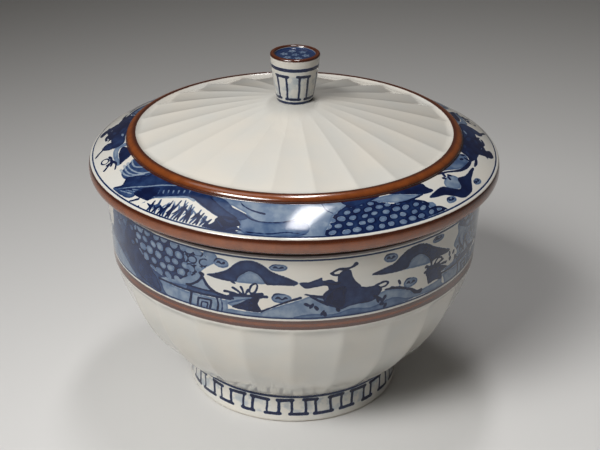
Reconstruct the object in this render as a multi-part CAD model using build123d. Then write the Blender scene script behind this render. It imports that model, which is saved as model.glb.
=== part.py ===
from build123d import *

import math
import os

# Lidded porcelain rice bowl, turned about +Z, millimetres.
# The origin is the centre of the foot's underside, and the bowl stands on z = 0.
# Four pieces are formed apart and joined with slip before firing:
# the bowl's body and its foot ring, and the lid's shell and its knob.
# Below its painted wall the body is cut to flat facets, and the lid's dome is scooped into flutes.

# ---------------------------------------------------------------- bowl
mouth_radius = 58.0            # outside of the bowl at its rim
rim_height = 72.4              # the flat top of the rim, which carries the lid
band_bottom_height = 46.2      # where the upright painted wall ends
band_draft = 1.6               # how much narrower the wall is at that height
body_bulge = 4.2               # rise of the lower curve over its straight chord
bowl_wall = 3.2
floor_thickness = 4.0
floor_dish = 1.5               # the inside floor is lower at its centre
lip_round = 0.8
facet_count = 24               # flat facets round the lower body
facet_step = 0.25              # the painted wall stands this far proud of the corners between facets
facet_sections = 6             # polygons that the faceted body runs through

# ---------------------------------------------------------------- foot ring
foot_radius = 33.5             # outside, where it stands
foot_height = 9.7
foot_wall = 4.2
foot_taper = 0.4               # the ring is narrower at its top by this much
foot_step = 0.6                # the body's underside is wider than the ring by this
foot_edge_round = 0.9

# ---------------------------------------------------------------- lid
lid_overhang = 4.5             # the lid reaches this far past the bowl's mouth
lid_edge_height = 5.3          # height of the rounded outer edge
lid_edge_bulge = 0.9
lid_band_width = 10.7          # sloping painted band, from the edge to the ridge
lid_band_rise = 5.2
lid_band_bulge = 0.4
ridge_width = 3.2
ridge_step = 1.4               # the ridge's inner side is this much higher than its outer side
ridge_bulge = 1.1              # height of the ridge over the chord between its two sides
dome_rise = 9.7                # from the ridge up to the knob's flat
dome_bulge = 0.7
lid_wall = 3.2
flute_count = 24               # scooped flutes round the dome
flute_depth = 0.5              # at the ridge, fading to nothing at the knob
flute_step = 0.3               # the ridge stands this far proud of the corners between flutes
flute_sections = 6             # scalloped outlines that the dome runs through
flute_bed_margin = 0.6         # the cap that carries the flutes reaches this far below them
flange_depth = 4.8             # locating flange, which drops inside the bowl's mouth
flange_wall = 2.6
flange_clearance = 0.6         # radial, all round, to the inside of the mouth
flange_round = 0.8

# ---------------------------------------------------------------- knob
knob_base_radius = 5.4
knob_top_radius = 7.5
knob_height = 14.6
knob_recess_depth = 0.8
knob_lip = 1.3
knob_edge_round = 0.6
knob_pad_margin = 0.8          # the dome is flat this far past the knob's base

# ---------------------------------------------------------------- derived sizes
mouth_inner_radius = mouth_radius - bowl_wall
band_bottom_radius = mouth_radius - band_draft
band_bottom_inner_radius = band_bottom_radius - bowl_wall
body_bottom_radius = foot_radius - foot_taper + foot_step
floor_height = foot_height + floor_thickness

lid_radius = mouth_radius + lid_overhang
lid_edge_radius = lid_radius - lid_edge_bulge
lid_edge_top = rim_height + lid_edge_height
ridge_outer_radius = lid_edge_radius - lid_band_width
ridge_outer_height = lid_edge_top + lid_band_rise
dome_radius = ridge_outer_radius - ridge_width
dome_edge_height = ridge_outer_height + ridge_step
dome_top_height = dome_edge_height + dome_rise
knob_pad_radius = knob_base_radius + knob_pad_margin
flange_radius = mouth_inner_radius - flange_clearance
flange_inner_radius = flange_radius - flange_wall
flange_bottom = rim_height - flange_depth
lid_inner_top = dome_top_height - lid_wall


def middle_of(start, end, rise):
    """The point rise away from the middle of a chord, to the left of its direction."""
    chord = Vector(*end) - Vector(*start)
    side = Vector(-chord.Y, chord.X).normalized() * rise
    return (Vector(*start) + Vector(*end)) / 2 + side


def bead(start, end, rise):
    """A small round arc that stands rise off its chord."""
    return ThreePointArc(start, middle_of(start, end, rise), end)


def sweep_line(start, end, rise):
    """A long, gently curved line that stands rise off its chord."""
    return Spline(start, middle_of(start, end, rise), end)


def turned(lines):
    """The solid that a closed outline of (radius, height) lines makes about the Z axis."""
    outline = make_face(Plane.XZ * Curve(lines))
    return revolve(outline, Axis.Z, 360)


def round_corner(before, corner, after, radius):
    """The quarter-like arc that rounds a corner: its start, a middle point and its end."""
    here = Vector(*corner)
    way_in = (here - Vector(*before)).normalized()
    way_out = (Vector(*after) - here).normalized()
    start = here - way_in * radius
    end = here + way_out * radius
    middle = here * 0.414 + (start + end) * 0.293
    return ThreePointArc(start, middle, end), start, end


def make_facets(profile):
    """The solid with flat facets all round, whose corners lie facet_step inside a profile."""
    polygons = []
    for section in range(facet_sections):
        point = profile @ (section / (facet_sections - 1))
        polygons.append(Pos(0, 0, point.Y) * RegularPolygon(point.X - facet_step, facet_count))
    return loft(polygons)


def ring_point(radius, turn):
    """The point at a radius and an angle in degrees about the Z axis."""
    return (radius * math.cos(math.radians(turn)), radius * math.sin(math.radians(turn)))


def scalloped_face(height, corner_radius, middle_radius):
    """A face edged by one arc to a flute, with a corner between each two."""
    pitch = 360 / flute_count
    arcs = []
    for flute in range(flute_count):
        turn = (flute + 0.5) * pitch
        start = ring_point(corner_radius, turn)
        middle = ring_point(middle_radius, turn + pitch / 2)
        end = ring_point(corner_radius, turn + pitch)
        arcs.append(ThreePointArc(start, middle, end))
    return Pos(0, 0, height) * make_face(Curve(arcs))


def flute_section(point, direction, share):
    """The scalloped face where the dome's profile passes a point, a share of the way from the knob."""
    slope = -direction.Y / direction.X
    corner_radius = point.X - flute_step * share / slope
    middle_radius = point.X - (flute_step + flute_depth) * share / slope
    return scalloped_face(point.Y, corner_radius, middle_radius)


def make_flutes(profile, fall):
    """The solid under a dome of scooped flutes, which run straight on past the profile until they fall so far."""
    faces = []
    for section in range(flute_sections):
        share = section / (flute_sections - 1)
        faces.append(flute_section(profile @ share, profile % share, share))
    direction = profile % 1
    faces.append(flute_section(profile @ 1 - direction * (fall / direction.Y), direction, 1))
    return loft(faces)


def make_bowl_body():
    outer_lip = (mouth_radius, rim_height)
    inner_lip = (mouth_inner_radius, rim_height)
    shoulder = (band_bottom_radius, band_bottom_height)
    inner_shoulder = (band_bottom_inner_radius, band_bottom_height)
    underside_edge = (body_bottom_radius, foot_height)
    floor_edge = (body_bottom_radius, floor_height + floor_dish)
    floor_centre = (0, floor_height)

    outer_round, outer_start, outer_end = round_corner(shoulder, outer_lip, inner_lip, lip_round)
    inner_round, inner_start, inner_end = round_corner(outer_lip, inner_lip, inner_shoulder, lip_round)
    lower_profile = sweep_line(underside_edge, shoulder, -body_bulge)
    blank = turned([
        Line((0, foot_height), underside_edge),
        lower_profile,
        Line(shoulder, outer_start),
        outer_round,
        Line(outer_end, inner_start),
        inner_round,
        Line(inner_end, inner_shoulder),
        sweep_line(inner_shoulder, floor_edge, body_bulge),
        sweep_line(floor_edge, floor_centre, floor_dish / 4),
        Line(floor_centre, (0, foot_height)),
    ])

    # Everything round the lower body that lies outside the facets is cut away.
    lower_height = band_bottom_height - foot_height
    around = Pos(0, 0, foot_height + lower_height / 2) * Cylinder(lid_radius, lower_height)
    return blank - (around - make_facets(lower_profile))


def make_foot_ring():
    inner_radius = foot_radius - foot_wall
    top_outer = (foot_radius - foot_taper, foot_height)
    top_inner = (inner_radius, foot_height)
    bottom_outer = (foot_radius, 0)
    bottom_inner = (inner_radius, 0)
    inner_round, inner_start, inner_end = round_corner(top_inner, bottom_inner, bottom_outer, foot_edge_round)
    outer_round, outer_start, outer_end = round_corner(bottom_inner, bottom_outer, top_outer, foot_edge_round)
    return turned([
        Line(top_outer, top_inner),
        Line(top_inner, inner_start),
        inner_round,
        Line(inner_end, outer_start),
        outer_round,
        Line(outer_end, top_outer),
    ])


def make_lid_shell():
    pad_edge = (knob_pad_radius, dome_top_height)
    dome_edge = (dome_radius, dome_edge_height)
    ridge_end = (ridge_outer_radius, ridge_outer_height)
    edge_top = (lid_edge_radius, lid_edge_top)
    edge_bottom = (lid_edge_radius, rim_height)
    seat_corner = (flange_radius, rim_height)
    flange_outer = (flange_radius, flange_bottom)
    flange_inner = (flange_inner_radius, flange_bottom)
    inner_corner = (dome_radius - lid_wall / 2, dome_edge_height - lid_wall)
    inner_top_edge = (knob_pad_radius, lid_inner_top)

    # The blank's dome is turned lower than its flutes, which a cap with a turned underside then adds.
    flute_bed = flute_depth + flute_step + flute_bed_margin
    bed_top = (0, dome_top_height - flute_bed)
    bed_pad_edge = (knob_pad_radius, dome_top_height - flute_bed)
    bed_edge = (dome_radius, dome_edge_height - flute_bed)
    outer_round, outer_start, outer_end = round_corner(seat_corner, flange_outer, flange_inner, flange_round)
    inner_round, inner_start, inner_end = round_corner(flange_outer, flange_inner, inner_corner, flange_round)
    blank = turned([
        Line(bed_top, bed_pad_edge),
        sweep_line(bed_pad_edge, bed_edge, dome_bulge),
        Line(bed_edge, dome_edge),
        bead(dome_edge, ridge_end, ridge_bulge),
        sweep_line(ridge_end, edge_top, lid_band_bulge),
        bead(edge_top, edge_bottom, lid_edge_bulge),
        Line(edge_bottom, seat_corner),
        Line(seat_corner, outer_start),
        outer_round,
        Line(outer_end, inner_start),
        inner_round,
        Line(inner_end, inner_corner),
        sweep_line(inner_corner, inner_top_edge, -dome_bulge),
        Line(inner_top_edge, (0, lid_inner_top)),
        Line((0, lid_inner_top), bed_top),
    ])

    # The cap's flutes run on a little way into the ridge, so that they meet its inner side.
    cap_drop = flute_bed + flute_bed_margin / 2
    cap_underside = dome_top_height - cap_drop
    cap_edge_underside = dome_edge_height - cap_drop
    cap_radius = dome_radius + ridge_width / 2
    cap_ceiling = dome_top_height + flute_bed_margin
    cap_zone = turned([
        Line((0, cap_underside), (knob_pad_radius, cap_underside)),
        sweep_line((knob_pad_radius, cap_underside), (dome_radius, cap_edge_underside), dome_bulge),
        Line((dome_radius, cap_edge_underside), (cap_radius, cap_edge_underside)),
        Line((cap_radius, cap_edge_underside), (cap_radius, cap_ceiling)),
        Line((cap_radius, cap_ceiling), (0, cap_ceiling)),
        Line((0, cap_ceiling), (0, cap_underside)),
    ])
    flutes = make_flutes(sweep_line(pad_edge, dome_edge, dome_bulge), flute_bed + flute_bed_margin)
    return blank + (flutes & cap_zone)


def make_lid_knob():
    top = dome_top_height + knob_height
    recess = top - knob_recess_depth
    recess_radius = knob_top_radius - knob_lip
    base = (knob_base_radius, dome_top_height)
    top_outer = (knob_top_radius, top)
    top_inner = (recess_radius, top)
    recess_corner = (recess_radius, recess)

    outer_round, outer_start, outer_end = round_corner(base, top_outer, top_inner, knob_edge_round)
    return turned([
        Line((0, dome_top_height), base),
        Line(base, outer_start),
        outer_round,
        Line(outer_end, top_inner),
        Line(top_inner, recess_corner),
        Line(recess_corner, (0, recess)),
        Line((0, recess), (0, dome_top_height)),
    ])


PIECES = {
    "bowl_body": make_bowl_body,
    "foot_ring": make_foot_ring,
    "lid_shell": make_lid_shell,
    "lid_knob": make_lid_knob,
}

os.makedirs("parts", exist_ok=True)
for node, make_piece in PIECES.items():
    piece = make_piece()
    piece.label = node
    export_step(piece, f"parts/{node}.step")
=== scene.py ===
import math

import bpy
import numpy as np
from mathutils import Euler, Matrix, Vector


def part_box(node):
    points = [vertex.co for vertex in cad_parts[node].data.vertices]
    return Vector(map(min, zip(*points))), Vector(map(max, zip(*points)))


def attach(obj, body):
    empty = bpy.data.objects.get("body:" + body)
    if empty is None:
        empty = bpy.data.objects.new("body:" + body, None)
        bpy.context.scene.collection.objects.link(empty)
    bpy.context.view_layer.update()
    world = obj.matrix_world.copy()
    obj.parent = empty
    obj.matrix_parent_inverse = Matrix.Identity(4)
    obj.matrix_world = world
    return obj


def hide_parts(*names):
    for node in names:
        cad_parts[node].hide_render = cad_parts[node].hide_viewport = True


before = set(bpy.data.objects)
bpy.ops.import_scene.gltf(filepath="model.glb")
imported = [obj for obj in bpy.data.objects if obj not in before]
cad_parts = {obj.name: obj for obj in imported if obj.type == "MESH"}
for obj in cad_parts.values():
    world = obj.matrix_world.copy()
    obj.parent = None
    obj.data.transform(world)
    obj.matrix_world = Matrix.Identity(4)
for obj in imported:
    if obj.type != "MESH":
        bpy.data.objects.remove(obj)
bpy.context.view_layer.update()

# Lengths in this script are millimetres, and MM turns them into the metres of the frame.
MM = 0.001
FULL_TURN = 2 * math.pi
FLUTES = 24
HALF_FLUTE = math.pi / FLUTES


def low_corner(node):
    return [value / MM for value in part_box(node)[0]]


def high_corner(node):
    return [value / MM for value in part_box(node)[1]]


# ---------------------------------------------------------------- sizes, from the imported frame
foot_radius = high_corner("foot_ring")[0]
foot_height = high_corner("foot_ring")[2]
rim_height = high_corner("bowl_body")[2]
lid_radius = high_corner("lid_shell")[0]
flange_bottom = low_corner("lid_shell")[2]
dome_top = high_corner("lid_shell")[2]
knob_top = high_corner("lid_knob")[2]

lid_overhang = 4.5
mouth_radius = lid_radius - lid_overhang
bowl_wall = 3.2
lip_rounding = 0.8
shoulder_height = 46.2
wall_lean = 1.6
shoulder_radius = mouth_radius - wall_lean
body_foot_radius = foot_radius + 0.2
body_bulge = 4.2
floor_height = foot_height + 4.0
floor_dish = 1.5
foot_wall = 4.2
foot_lean = 0.4
foot_rounding = 0.9

edge_bulge = 0.9
edge_height = 5.3
edge_tuck = 1.5
lid_band_width = 10.7
lid_band_rise = 5.2
ridge_width = 3.2
ridge_rise = 1.4
lid_edge_radius = lid_radius - edge_bulge
lid_edge_top = rim_height + edge_height
ridge_outer = (lid_edge_radius - lid_band_width, lid_edge_top + lid_band_rise)
ridge_inner = (ridge_outer[0] - ridge_width, ridge_outer[1] + ridge_rise)
flange_gap = 0.6
flange_radius = mouth_radius - bowl_wall - flange_gap
flange_wall = 2.6
flange_rounding = 0.8
lid_wall = 3.2

knob_seat_radius = 6.2
knob_base_radius = 5.4
knob_rim_radius = 7.5
knob_rim_height = 3.4
knob_lip = 1.35
knob_recess = 0.8
knob_band_radius = 6.5

# The facets of the lower body: their step in from the wall, their depth as a share of a plain chord's, and
# where they fade out.
facet_step = 0.22
facet_share = 1.25
facet_top = shoulder_height - 0.5
facet_top_fade = 1.1
facet_foot_fade = 5.0
# The flutes of the dome: their depth, how flat their bottoms are, and where and how they fade by the knob.
flute_depth = 0.44
flute_flatness = 2.2
flute_start = 9.0
flute_fade = 0.9

# How far above the shoulder, and inside the lid's edge, the lowest painted line lies.
bowl_band_margin = 4.1
lid_band_margin = 0.4

# Columns round each turned piece. Each is FLUTES times a whole number, so that an arris falls on a column.
FINE = FLUTES * 48
MIDDLE = FLUTES * 24
COARSE = FLUTES * 12
KNOB = FLUTES * 8
PLAIN = FLUTES * 6


# ================================================================ turned meshes
def swollen(start, end, places):
    """Points beside the chord from start to end, each at a share of the way and with a swell to the left."""
    (r0, z0), (r1, z1) = start, end
    length = math.hypot(r1 - r0, z1 - z0)
    points = []
    for t, swell in places:
        swell /= length
        points.append((r0 + (r1 - r0) * t - (z1 - z0) * swell, z0 + (z1 - z0) * t + (r1 - r0) * swell))
    return points


def run(start, end, rise=0.0, step=1.0):
    """Points from start up to, but not at, end, on a shallow curve that stands rise to the chord's left."""
    count = max(1, round(math.dist(start, end) / step))
    shares = [i / count for i in range(count)]
    return swollen(start, end, [(t, 4 * t * (1 - t) * rise) for t in shares])


def bead_outline(start, end, rise, step=0.36):
    """Points of a round bead between two points, start included and end left out."""
    count = round(math.dist(start, end) * 1.2 / step)
    angles = [math.pi * i / count for i in range(count)]
    return swollen(start, end, [((1 - math.cos(a)) / 2, rise * math.sin(a) ** 0.9) for a in angles])


def rounded(before, corner, after, radius, count=4):
    """Points of the arc that rounds a corner, its two ends included."""
    here = np.array(corner, float)
    way_in = np.array(before, float) - here
    way_out = np.array(after, float) - here
    start = here + way_in / np.linalg.norm(way_in) * radius
    end = here + way_out / np.linalg.norm(way_out) * radius
    points = []
    for i in range(count + 1):
        t = i / count
        point = (1 - t) ** 2 * start + 2 * t * (1 - t) * here + t ** 2 * end
        points.append((float(point[0]), float(point[1])))
    return points


class Turned:
    """A mesh turned about Z from rows of (radius, height, columns).

    The rows run from the axis beneath to the axis above. In a closed one, the last joins the first."""

    def __init__(self, rows, closed=False):
        self.rows = rows
        self.closed = closed
        radius, height, along, theta, row_start = [], [], [], [], []
        travelled = 0.0
        for k, (r, z, columns) in enumerate(rows):
            if k:
                travelled += math.hypot(r - rows[k - 1][0], z - rows[k - 1][1])
            count = self.count(k)
            row_start.append(len(radius))
            radius += [r] * count
            height += [z] * count
            along += [travelled] * count
            theta += [FULL_TURN * j / count for j in range(count)]
        self.radius = np.array(radius)
        self.height = np.array(height)
        self.along = np.array(along)
        self.theta = np.array(theta)
        self.row_start = row_start
        self.signed_theta = (self.theta + math.pi) % FULL_TURN - math.pi
        self.attributes = {}

    def count(self, k):
        """How many vertices row k has: one on the axis, and one in each column elsewhere."""
        r, _, columns = self.rows[k]
        return 1 if r < 1e-6 else columns

    def along_at(self, r, z):
        """How far along the outline the row nearest to a point lies."""
        best = min(range(len(self.rows)), key=lambda k: math.hypot(self.rows[k][0] - r, self.rows[k][1] - z))
        return self.along[self.row_start[best]]

    def outward(self):
        """The outward direction at each vertex, as radial and upward shares."""
        points = np.array([(r, z) for r, z, _ in self.rows])
        slope = np.gradient(points, axis=0)
        slope /= np.maximum(np.linalg.norm(slope, axis=1, keepdims=True), 1e-9)
        per_row = np.stack([slope[:, 1], -slope[:, 0]], axis=1)
        return np.repeat(per_row, [self.count(k) for k in range(len(self.rows))], axis=0)

    def sink(self, depth):
        """Moves each vertex inwards by its depth."""
        outward = self.outward()
        self.radius = self.radius - outward[:, 0] * depth
        self.height = self.height - outward[:, 1] * depth

    def faces(self):
        """Quads between rows with as many columns, and triangles where the columns halve, double or meet."""
        quads, triangles = [], []
        for k in range(len(self.rows) - 1):
            low, high = self.count(k), self.count(k + 1)
            a, b = self.row_start[k], self.row_start[k + 1]
            if low == high:
                j = np.arange(low)
                n = (j + 1) % low
                quads.append(np.stack([a + j, a + n, b + n, b + j], axis=1))
            elif low == 1:
                j = np.arange(high)
                triangles.append(np.stack([np.full(high, a), b + (j + 1) % high, b + j], axis=1))
            elif high == 1:
                j = np.arange(low)
                triangles.append(np.stack([a + j, a + (j + 1) % low, np.full(low, b)], axis=1))
            else:
                few, many, coarse, fine = (high, low, b, a) if high < low else (low, high, a, b)
                i = np.arange(few)
                p, q = coarse + i, coarse + (i + 1) % few
                f0, f1, f2 = fine + 2 * i, fine + 2 * i + 1, fine + (2 * i + 2) % many
                fan = ((f0, f1, p), (f1, q, p), (f1, f2, q))
                triangles += [np.stack(t if high < low else t[::-1], axis=1) for t in fan]
        if self.closed:
            last, count = self.row_start[-1], self.count(0)
            j = np.arange(count)
            n = (j + 1) % count
            quads.append(np.stack([last + j, last + n, n, j], axis=1))
        return [face for group in quads + triangles for face in group.tolist()]

    def build(self, name):
        spread = np.stack([
            self.radius * np.sin(self.theta) * MM,
            -self.radius * np.cos(self.theta) * MM,
            self.height * MM,
        ], axis=1)
        mesh = bpy.data.meshes.new(name)
        mesh.from_pydata(spread.tolist(), [], self.faces())
        for key, values in self.attributes.items():
            attribute = mesh.attributes.new(key, "FLOAT", "POINT")
            attribute.data.foreach_set("value", np.asarray(values, np.float32))
        mesh.shade_smooth()
        mesh.validate()
        piece = bpy.data.objects.new(name, mesh)
        bpy.context.scene.collection.objects.link(piece)
        return piece


def with_columns(points, columns):
    return [(r, z, columns) for r, z in points]


def step_columns(rows, first, last):
    """The rows, with their columns halved or doubled row by row from first until they reach last."""
    columns = first
    out = []
    for r, z in rows:
        if columns > last:
            columns //= 2
        elif columns < last:
            columns *= 2
        out.append((r, z, columns))
    return out


# ================================================================ painting
SCENE_LAYERS = ("ink", "dark", "deep", "mid", "pale", "reserve")
FRET_LAYERS = ("ink", "wash")
KNOB_LAYERS = ("ink", "wash", "pale")

# A painted band is laid flat: s runs round the piece to the right of the front, and v runs across the band.
# FAR is the distance, in mm, that stands for nothing painted nearby.
FAR = 9.0


def smooth_line(points, closed=False, pieces=5):
    """A Catmull-Rom curve through points, as more points."""
    p = np.array(points, float)
    n = len(p)
    spans = n if closed else n - 1
    out = []
    for i in range(spans):
        if closed:
            p0, p1, p2, p3 = p[(i - 1) % n], p[i], p[(i + 1) % n], p[(i + 2) % n]
        else:
            p0, p1, p2, p3 = p[max(i - 1, 0)], p[i], p[i + 1], p[min(i + 2, n - 1)]
        for j in range(pieces):
            t = j / pieces
            out.append(0.5 * (2 * p1 + (p2 - p0) * t + (2 * p0 - 5 * p1 + 4 * p2 - p3) * t * t
                              + (3 * p1 - p0 - 3 * p2 + p3) * t ** 3))
    if not closed:
        out.append(p[-1])
    return np.array(out)


class Band:
    """Layers of paint on a turned piece: each is the distance in mm to the edge of what is painted, negative
    inside. v is how far across the band each vertex lies."""

    LAYERS = ("ink", "dark", "deep", "mid", "pale", "wash", "reserve")

    def __init__(self, turned, mean_radius, v, v_range, repeats, wobble=0.25):
        self.turned = turned
        turned.attributes["across"] = v
        self.inside = np.nonzero((v > v_range[0]) & (v < v_range[1]))[0]
        self.period = FULL_TURN * mean_radius / repeats
        s = turned.signed_theta[self.inside] * mean_radius
        w = v[self.inside]
        drift = np.sin(s * 0.031 + 1.0) + np.sin(s * 0.083 + w * 0.21) + np.sin(w * 0.9 + s * 0.17)
        lift = np.sin(s * 0.047 + 2.0) + np.sin(s * 0.11 + w * 0.3 + 0.7) + np.sin(s * 0.29 - w * 0.5)
        self.s = s + wobble * drift
        self.v = w + wobble * 0.6 * lift
        self.s = (self.s + self.period / 2) % self.period - self.period / 2
        self.layers = {key: np.full(len(v), FAR) for key in self.LAYERS}

    def near(self, low, high, margin=2.5):
        """For each copy of the pattern that a box reaches: the vertices near it, and their s and v there."""
        for shift in (-self.period, 0.0, self.period):
            s = self.s + shift
            hit = ((s > low[0] - margin) & (s < high[0] + margin)
                   & (self.v > low[1] - margin) & (self.v < high[1] + margin))
            if hit.any():
                yield self.inside[hit], s[hit], self.v[hit]

    def put(self, layer, index, distance):
        paint = self.layers[layer]
        paint[index] = np.minimum(paint[index], distance)

    def wipe(self, index, distance):
        """Clears every layer inside an outline."""
        for paint in self.layers.values():
            paint[index] = np.maximum(paint[index], -distance)

    def cover(self, points):
        line = smooth_line(points, closed=True)
        for index, s, v in self.near(line.min(0), line.max(0)):
            self.wipe(index, outline_distance(s, v, line))

    def stroke(self, layer, points, width=0.6, smooth=True):
        """A brush stroke. A point may carry its own width as a third number."""
        full = np.array([(*p, width)[:3] for p in points], float)
        line = smooth_line(full) if smooth and len(full) > 2 else full
        for index, s, v in self.near(line[:, :2].min(0), line[:, :2].max(0)):
            self.put(layer, index, line_distance(s, v, line))

    def strokes(self, layer, *lines):
        for points in lines:
            self.stroke(layer, points)

    def blob(self, layer, points, smooth=True, pieces=5):
        """A filled outline."""
        line = smooth_line(points, closed=True, pieces=pieces) if smooth else np.array(points, float)
        for index, s, v in self.near(line.min(0), line.max(0)):
            self.put(layer, index, outline_distance(s, v, line))

    def blobs(self, layer, *outlines):
        for points in outlines:
            self.blob(layer, points)

    def oval(self, layer, centre, rx, ry, turn=0.0, width=None, cleared=False):
        """An oval, or a ring if it has a width. If cleared, the other layers don't show inside it."""
        cs, cv = centre
        for index, s, v in self.near((cs - rx, cv - ry), (cs + rx, cv + ry)):
            distance = oval_distance(s - cs, v - cv, rx, ry, turn)
            if cleared:
                self.wipe(index, distance)
            self.put(layer, index, distance if width is None else np.abs(distance) - width / 2)

    def ring(self, layer, centre, rx, ry, width=0.5, turn=0.0):
        self.oval(layer, centre, rx, ry, turn, width)

    def store(self, keys):
        for key in keys:
            self.turned.attributes["paint_" + key] = self.layers[key]


def span_distance(s, v, a, b):
    """How far each place is from the span a to b, and its nearest point's share of the way from a to b."""
    ds, dv = b[0] - a[0], b[1] - a[1]
    length = ds * ds + dv * dv + 1e-12
    t = np.clip(((s - a[0]) * ds + (v - a[1]) * dv) / length, 0, 1)
    return np.hypot(s - a[0] - ds * t, v - a[1] - dv * t), t


def line_distance(s, v, line):
    """The distance to the edge of a line whose points carry a width."""
    best = np.full(len(s), FAR)
    for a, b in zip(line[:-1], line[1:]):
        reach, t = span_distance(s, v, a, b)
        best = np.minimum(best, reach - (a[2] + (b[2] - a[2]) * t) / 2)
    return best


def outline_distance(s, v, line):
    """The distance to a closed outline, negative inside it."""
    best = np.full(len(s), FAR)
    inside = np.zeros(len(s), bool)
    for a, b in zip(line, np.roll(line, -1, axis=0)):
        best = np.minimum(best, span_distance(s, v, a, b)[0])
        ds, dv = b[0] - a[0], b[1] - a[1]
        crosses = (a[1] > v) != (b[1] > v)
        inside ^= crosses & (s < a[0] + (v - a[1]) * ds / (dv if abs(dv) > 1e-12 else 1e-12))
    return np.where(inside, -best, best)


def oval_distance(s, v, rx, ry, turn):
    """Roughly the distance to an oval about the origin, negative inside it."""
    c, d = np.cos(turn), np.sin(turn)
    x, y = (s * c + v * d) / rx, (v * c - s * d) / ry
    reach = np.hypot(x, y)
    slope = np.hypot(x / rx, y / ry) / np.maximum(reach, 1e-6)
    return (reach - 1) / np.maximum(slope, 1e-6)


# ---------------------------------------------------------------- motifs
def pebble_cloud(band, centre, rx, ry, spots=3):
    """A soft oval with an uneven darker edge and a few dabs inside."""
    s, v = centre
    dabs = ((-0.62, -0.1), (-0.3, 0.2), (0.02, -0.25), (0.4, 0.12), (0.66, -0.05))[:spots + 2]
    band.oval("pale", centre, rx, ry)
    band.ring("mid", centre, rx * 0.93, ry * 0.9, 0.42)
    band.strokes("dark",
        [(s - rx, v, 0.25), (s - rx * 0.5, v + ry * 0.9, 0.45), (s + rx * 0.45, v + ry * 0.85, 0.2)],
        [(s + rx * x, v + ry * y, 0.3 + 0.5 * (i % 2)) for i, (x, y) in enumerate(dabs)])


def net(band, outline, first, pitch, oval, rings=False):
    """Ovals in staggered rows inside an outline, each slightly off its place and size.

    They are pale on a dark ground, or dark rings on a pale one."""
    line = smooth_line(outline, closed=True)
    for index, s, v in band.near(line.min(0), line.max(0)):
        field = outline_distance(s, v, line)
        band.wipe(index, field)
        row = np.round((v - first[1]) / pitch[1])
        shift = first[0] + 0.5 * pitch[0] * np.mod(row, 2)
        column = np.round((s - shift) / pitch[0])
        size = 1 + 0.13 * np.sin(column * 5.1 + row * 2.7)
        ds = s - shift - column * pitch[0] - 0.24 * np.sin(column * 2.3 + row * 4.1)
        dv = v - first[1] - row * pitch[1] - 0.17 * np.sin(column * 3.7 + row * 1.9)
        cell = oval_distance(ds / size, dv / size, oval[0], oval[1], 0.12 + 0.2 * np.sin(column * 1.3 + row))
        if rings:
            paints = (("ink", np.abs(cell) - 0.26), ("pale", field))
        else:
            paints = (("dark", -cell), ("pale", cell), ("ink", np.abs(cell - 0.12) - 0.08))
        for layer, distance in paints:
            band.put(layer, index, np.maximum(field, distance))


def arch_hill(band, outer, inner):
    """A hill like a bent leaf, dark along its back, with a pale hollow beneath."""
    band.blob("dark", list(outer) + list(inner)[::-1])
    band.stroke("ink", [tuple(p) + (0.3,) for p in outer[:-2]])
    band.blob("pale", inner)


def leaf_bush(band, root, tips):
    """Leaves that fan out from a root, each widening to its tip."""
    for tip in tips:
        middle = ((root[0] + tip[0]) / 2, (root[1] + tip[1]) / 2 + 0.25)
        band.stroke("ink", [root + (0.35,), middle + (0.6,), tip + (0.85,)])


def placed(s, v, width=1.0):
    """A function that moves a motif's points to s and v, stretched sideways by width."""
    return lambda *points: [(s + p[0] * width, v + p[1], *p[2:]) for p in points]


def pavilion(band, s, v, width=1.0):
    """A small open hall: a curved roof with a finial, a dark eave, pale walls, posts and a door frame."""
    at = placed(s, v, width)
    band.cover(at(
        (-14.6, 3.9), (-14.6, 5.2), (-6, 6.6), (-1.6, 8.6), (0.1, 10.2), (1.8, 8.2), (4.2, 6.4), (8.6, 5),
        (7.6, 0.1), (-11.6, 0.1)))
    band.blob("pale", at(
        (-14.2, 5), (-6, 6.4), (-1.6, 8.4), (0.1, 9.8), (1.8, 8), (4.2, 6.2), (7, 5.1), (0, 4.4)))
    band.blob("deep", at((-6, 4.6), (-5, 6.3), (5.2, 6.1), (8.8, 5), (8.6, 4.5), (4, 4.5)), smooth=False)
    band.blob("mid", at((-15.5, 4.4), (-9, 5.3), (-5, 6.2), (-5, 4.4)), smooth=False)
    band.blob("pale", at((-14.5, 4), (7.6, 4), (7.4, 0), (-12, 0)), smooth=False)
    band.strokes("ink",
        at((0, 10.6, 0.7), (-1.2, 8.6, 0.8), (-3.2, 7, 0.6), (-5.4, 6.2, 0.6)),
        at((0.2, 10.4, 0.7), (1.6, 8.3, 0.9), (4.2, 6.3, 0.9), (7, 5.5, 1), (9.8, 5.1, 0.8)),
        at((-16.2, 4.4, 0.6), (-6, 4.5, 0.7), (2, 4.6, 0.8), (8.8, 4.8, 0.9)))
    band.stroke("ink", at((-5.6, 6.2), (5.2, 6.2)), 0.55)
    band.oval("ink", (s + 0.1 * width, v + 11.3), 0.95, 0.6)
    band.stroke("ink", at((0, 11), (0.1, 10)), 0.9)
    band.stroke("ink", at((-4.2, 4.2), (-4.2, 0)), 0.85)
    band.stroke("ink", at((4.5, 4.4), (4.5, 0)), 0.7)
    band.stroke("deep", at((5.8, 4.2), (5.8, 0)), 0.5)
    band.stroke("ink", at((-1.7, 0), (-1.8, 2.9), (2.3, 3), (2.2, 0)), 0.7, smooth=False)
    band.stroke("ink", at((-0.6, 0), (-0.6, 1.8), (1.3, 1.8), (1.3, 0)), 0.5, smooth=False)


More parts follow.
